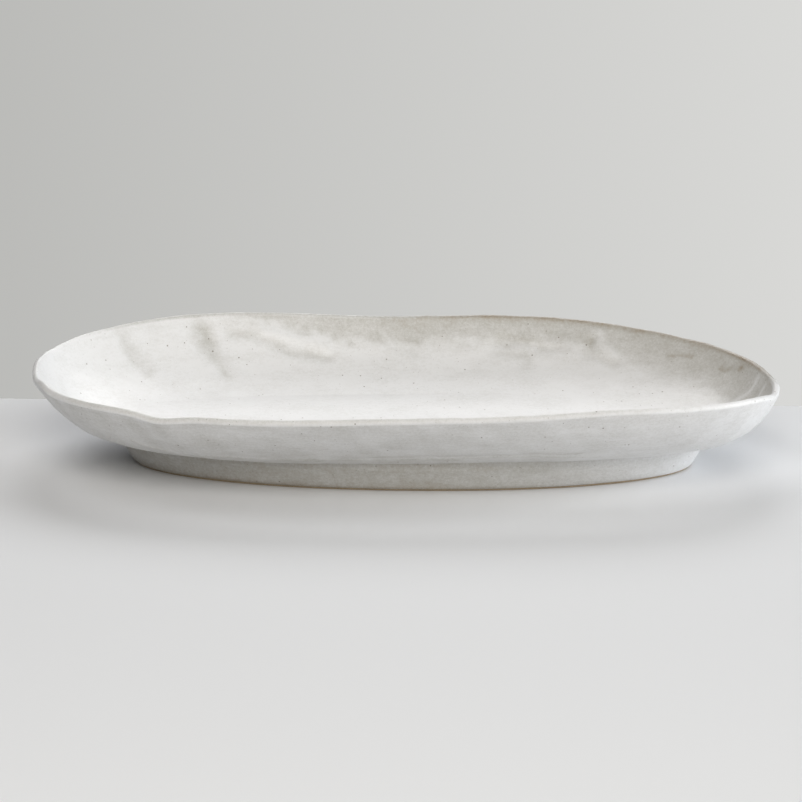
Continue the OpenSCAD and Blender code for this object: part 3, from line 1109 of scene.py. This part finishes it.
class PLATTER_OT_base_glaze(bpy.types.Operator):
    """Make the glaze under the dish, inside the foot ring: an uneven disc"""

    bl_idname = "platter.base_glaze"
    bl_label = "Base Glaze"

    def execute(self, context):
        shape = context.scene.platter_shape
        edge = clay_face_in(shape, FOOT_TOP) + shape.ground_width + JOINT_EXTRA
        outline = foot_at(shape, ANGLES, edge)
        middle = np.array([shape.foot_shift, 0])
        shares = np.concatenate([np.linspace(0.04, 0.96, 36), [0.985, 1]])
        flats = middle + (outline - middle) * shares[:, None, None]
        lower = np.concatenate([flats, np.full((*flats.shape[:-1], 1), FOOT_TOP - shape.glaze)], -1)
        upper = np.concatenate([flats, np.full((*flats.shape[:-1], 1), FOOT_TOP)], -1)[::-1][::6]
        fade = np.clip((1 - shares) * 10, 0, 1)[:, None]
        thrown = 0.10 * MM * np.sin(shares[:, None] * 60 + 2 * np.sin(ANGLES))
        lower[..., 2] += fade * (0.12 * MM * rolling(lower, 15, 60, 81) + thrown)
        rings = np.concatenate([lower, upper])
        down = np.array([0, 0, -1.0])
        lower_normals = grid_normals(lower)
        lower_normals *= np.sign(-lower_normals[..., 2:])
        normals = np.concatenate([lower_normals, np.broadcast_to(-down, upper.shape)])
        tips = (np.array([*middle, lower[0, :, 2].mean()]), np.array([*middle, FOOT_TOP]))
        piece = close_rings("base_glaze", rings, normals, tips, (down, -down))
        add_mask(piece, "thin", np.zeros(len(piece.data.vertices)))
        finish_piece(piece, "base_glaze", white_glaze())
        return {"FINISHED"}


# ---- the studio ----


def emission_backdrop(left, right):
    """A plain backdrop, shaded from left to right, that shows only from its front and gives no light."""
    material, tree, where = new_material("backdrop")
    split = add_node(tree, "ShaderNodeSeparateXYZ", (-2, 1), {"Vector": where})
    across = add_node(
        tree, "ShaderNodeMapRange", (-1, 1),
        {"Value": split.outputs["X"], "From Min": -BACKDROP_SHADING, "From Max": BACKDROP_SHADING},
    )
    colour = mix_colours(tree, (0, 1), across.outputs["Result"], left, right)
    glow = add_node(tree, "ShaderNodeEmission", (1, 1), {"Color": colour})
    clear = add_node(tree, "ShaderNodeBsdfTransparent", (1, 2))
    face = add_node(tree, "ShaderNodeNewGeometry", (1, 0))
    mix = add_node(
        tree, "ShaderNodeMixShader", (2, 0),
        {0: face.outputs["Backfacing"], 1: glow.outputs[0], 2: clear.outputs[0]},
    )
    add_node(tree, "ShaderNodeOutputMaterial", (3, 0), {"Surface": mix.outputs[0]})
    return material


def stage_plane(name, corners, material):
    mesh = bpy.data.meshes.new(name)
    mesh.from_pydata(corners, [], [(0, 1, 2, 3)])
    plane = bpy.data.objects.new(name, mesh)
    plane.data.materials.append(material)
    bpy.context.scene.collection.objects.link(plane)
    return plane


def add_soft_lamp(name, azimuth, elevation, power, colour):
    """A large round lamp that faces the middle of the table, from an azimuth and an elevation."""
    lamp = bpy.data.lights.new(name, "AREA")
    lamp.shape = "DISK"
    lamp.size = LAMP_SIZE
    lamp.energy = power
    lamp.color = colour
    turn, rise = math.radians(azimuth), math.radians(elevation)
    away = Vector((math.cos(turn) * math.cos(rise), math.sin(turn) * math.cos(rise), math.sin(rise)))
    light = bpy.data.objects.new(name, lamp)
    light.location = away * LAMP_DISTANCE
    light.rotation_euler = (-away).to_track_quat("-Z", "Y").to_euler()
    bpy.context.scene.collection.objects.link(light)
    return light


class PLATTER_OT_studio(bpy.types.Operator):
    """Set up the table, the backdrop, the lights and the camera"""

    bl_idname = "platter.studio"
    bl_label = "Studio"

    def execute(self, context):
        scene = context.scene
        studio = scene.platter_studio
        scene.view_settings.view_transform = "Standard"

        table = bpy.data.materials.new("table")
        table.use_nodes = True
        shader = table.node_tree.nodes["Principled BSDF"]
        shader.inputs["Base Color"].default_value = (*studio.table, 1)
        shader.inputs["Roughness"].default_value = 0.75
        shader.inputs["Specular IOR Level"].default_value = 0.2
        size = 6
        stage_plane("table", [(-size, -size, 0), (size, -size, 0), (size, size, 0), (-size, size, 0)], table)

        behind = 0.15
        high = 3
        backdrop = stage_plane(
            "backdrop", [(-size, behind, 0), (size, behind, 0), (size, behind, high), (-size, behind, high)],
            emission_backdrop(studio.backdrop_left, studio.backdrop_right),
        )
        backdrop.visible_diffuse = False
        backdrop.visible_glossy = False
        backdrop.visible_shadow = False
        backdrop.visible_transmission = False

        world = bpy.data.worlds.new("room")
        world.use_nodes = True
        world.node_tree.nodes["Background"].inputs["Color"].default_value = (*studio.sky, 1)
        scene.world = world

        for name, azimuth, elevation, power, colour in LAMPS:
            add_soft_lamp(name, azimuth, elevation, power * studio.brightness, colour)

        aim = Vector((-0.001, 0, 0.039))
        level = math.cos(studio.elevation)
        towards = Vector((
            math.sin(studio.azimuth) * level, -math.cos(studio.azimuth) * level, math.sin(studio.elevation)
        ))
        view = bpy.data.cameras.new("view")
        view.lens = studio.lens
        view.sensor_width = 36
        camera = bpy.data.objects.new("view", view)
        camera.location = aim + towards * studio.distance
        camera.rotation_euler = (-towards).to_track_quat("-Z", "Y").to_euler()
        scene.collection.objects.link(camera)
        scene.camera = camera
        return {"FINISHED"}


PIECE_OPERATORS = (
    PLATTER_OT_body,
    PLATTER_OT_foot_ring,
    PLATTER_OT_well_glaze,
    PLATTER_OT_rim_glaze,
    PLATTER_OT_wall_glaze,
    PLATTER_OT_foot_glaze,
    PLATTER_OT_base_glaze,
)


class PLATTER_PT_panel(bpy.types.Panel):
    """Sizes, finishes and pieces of the platter"""

    bl_label = "Stoneware Platter"
    bl_idname = "PLATTER_PT_panel"
    bl_space_type = "VIEW_3D"
    bl_region_type = "UI"
    bl_category = "Platter"

    def draw(self, context):
        layout = self.layout
        groups = (
            (context.scene.platter_shape, PlatterShape),
            (context.scene.platter_finish, PlatterFinish),
            (context.scene.platter_studio, PlatterStudio),
        )
        for settings, group in groups:
            column = layout.column()
            for name in group.__annotations__:
                column.prop(settings, name)
        for operator in (*PIECE_OPERATORS, PLATTER_OT_studio):
            layout.operator(operator.bl_idname)


CLASSES = (PlatterShape, PlatterFinish, PlatterStudio, *PIECE_OPERATORS, PLATTER_OT_studio, PLATTER_PT_panel)


def register():
    for cls in CLASSES:
        bpy.utils.register_class(cls)
    bpy.types.Scene.platter_shape = PointerProperty(type=PlatterShape)
    bpy.types.Scene.platter_finish = PointerProperty(type=PlatterFinish)
    bpy.types.Scene.platter_studio = PointerProperty(type=PlatterStudio)


def unregister():
    del bpy.types.Scene.platter_shape, bpy.types.Scene.platter_finish, bpy.types.Scene.platter_studio
    for cls in reversed(CLASSES):
        bpy.utils.unregister_class(cls)


def main():
    register()
    bpy.ops.platter.studio()
    bpy.ops.platter.body()
    bpy.ops.platter.foot_ring()
    bpy.ops.platter.well_glaze()
    bpy.ops.platter.rim_glaze()
    bpy.ops.platter.wall_glaze()
    bpy.ops.platter.foot_glaze()
    bpy.ops.platter.base_glaze()


if __name__ == "__main__":
    main()
